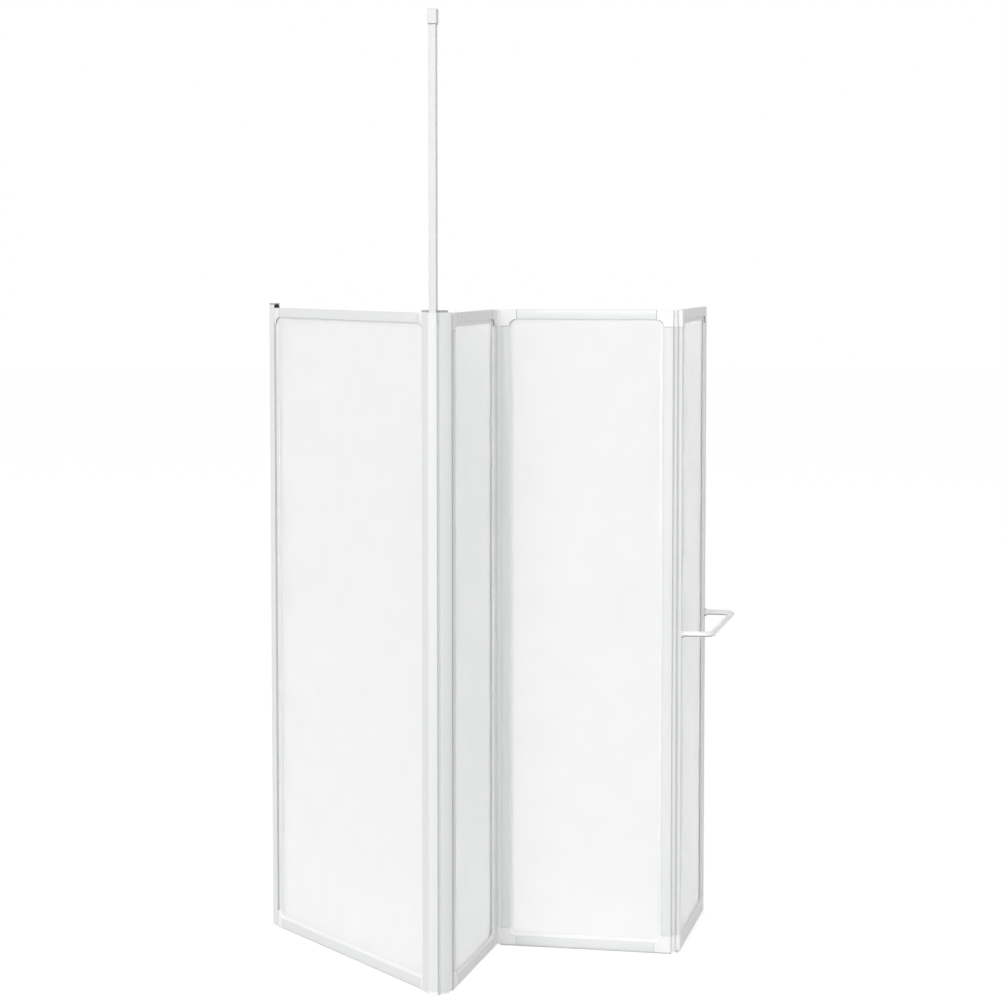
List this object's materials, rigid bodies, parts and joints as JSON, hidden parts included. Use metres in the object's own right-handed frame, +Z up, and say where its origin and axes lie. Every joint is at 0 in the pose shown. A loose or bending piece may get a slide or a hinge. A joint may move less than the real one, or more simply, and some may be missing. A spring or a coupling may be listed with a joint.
{
  "type": "folding bath screen",
  "caption": "Bath screen with a fixed side panel, a corner post with a pole to the ceiling, and framed opal panels that fold like a concertina, with a towel rail on the end one.",
  "frame": {"origin": "the underside of the corner post's foot, on the axis of the post and its pole", "axes": "+Z up; +X from the wall to the post, along the fixed side panel; +Y the line of the folding panels when they stand straight, with their outer faces towards +X"},
  "size_m": [0.7301, 0.9434, 2.01],
  "materials": {
    "profile": "white powder coat, satin",
    "moulding": "white moulded plastic, satin",
    "cap": "mid-grey moulded plastic, matte",
    "rail": "white moulded plastic, gloss",
    "pane": "opal sheet, finely pebbled, lets light through",
    "gasket": "soft white PVC, matte",
    "seal": "soft grey-white PVC, matte",
    "rubber": "black, matte",
    "steel": "stainless, satin"
  },
  "bodies": {
    "fixed_frame": {"wall_profile": "profile", "wall_profile_cap": "cap", "channel_stop": "rubber", "wall_lock_screw_top": "steel", "wall_lock_screw_bottom": "steel", "post_lock_screw": "steel", "corner_post": "profile", "post_cap": "cap", "post_foot": "moulding", "pole_clamp_screw": "steel", "hinge_rod_1": "steel", "panel_1_top_left_corner": "moulding", "panel_1_top_right_corner": "moulding", "panel_1_bottom_left_corner": "moulding", "panel_1_bottom_right_corner": "moulding", "panel_1_left_stile": "profile", "panel_1_right_stile": "profile", "panel_1_top_rail": "profile", "panel_1_bottom_rail": "profile", "panel_1_pane": "pane", "panel_1_gasket": "gasket", "panel_1_seal": "seal"},
    "pole": {"ceiling_pole": "profile", "ceiling_cap": "moulding"},
    "panel_2": {"panel_2_top_left_corner": "moulding", "panel_2_top_right_corner": "moulding", "panel_2_bottom_left_corner": "moulding", "panel_2_bottom_right_corner": "moulding", "panel_2_left_stile": "profile", "panel_2_right_stile": "profile", "panel_2_top_rail": "profile", "panel_2_bottom_rail": "profile", "panel_2_pane": "pane", "panel_2_gasket": "gasket", "panel_2_seal": "seal", "hinge_rod_2": "steel"},
    "panel_3": {"panel_3_top_left_corner": "moulding", "panel_3_top_right_corner": "moulding", "panel_3_bottom_left_corner": "moulding", "panel_3_bottom_right_corner": "moulding", "panel_3_left_stile": "profile", "panel_3_right_stile": "profile", "panel_3_top_rail": "profile", "panel_3_bottom_rail": "profile", "panel_3_pane": "pane", "panel_3_gasket": "gasket", "panel_3_seal": "seal", "hinge_rod_3": "steel"},
    "panel_4": {"panel_4_top_left_corner": "moulding", "panel_4_top_right_corner": "moulding", "panel_4_bottom_left_corner": "moulding", "panel_4_bottom_right_corner": "moulding", "panel_4_left_stile": "profile", "panel_4_right_stile": "profile", "panel_4_top_rail": "profile", "panel_4_bottom_rail": "profile", "panel_4_pane": "pane", "panel_4_gasket": "gasket", "panel_4_seal": "seal", "towel_rail": "rail"}
  },
  "joints": [
    {"name": "post_hinge", "type": "hinge", "parent": "fixed_frame", "child": "panel_2", "pos_m": [-0.007, 0.035, 0.7], "axis": [0, 0, 1], "range_deg": [-43.7, 26.3]},
    {"name": "outer_fold", "type": "hinge", "parent": "panel_2", "child": "panel_3", "pos_m": [-0.26494, 0.32518, 0.7], "axis": [0, 0, -1], "range_deg": [-88.5, 76.5]},
    {"name": "inner_fold", "type": "hinge", "parent": "panel_3", "child": "panel_4", "pos_m": [-0.00148, 0.61036, 0.7], "axis": [0, 0, 1], "range_deg": [-90, 82]},
    {"name": "pole_slide", "type": "slide", "parent": "fixed_frame", "child": "pole", "axis": [0, 0, 1], "range_m": [-0.3, 0.15]}
  ]
}
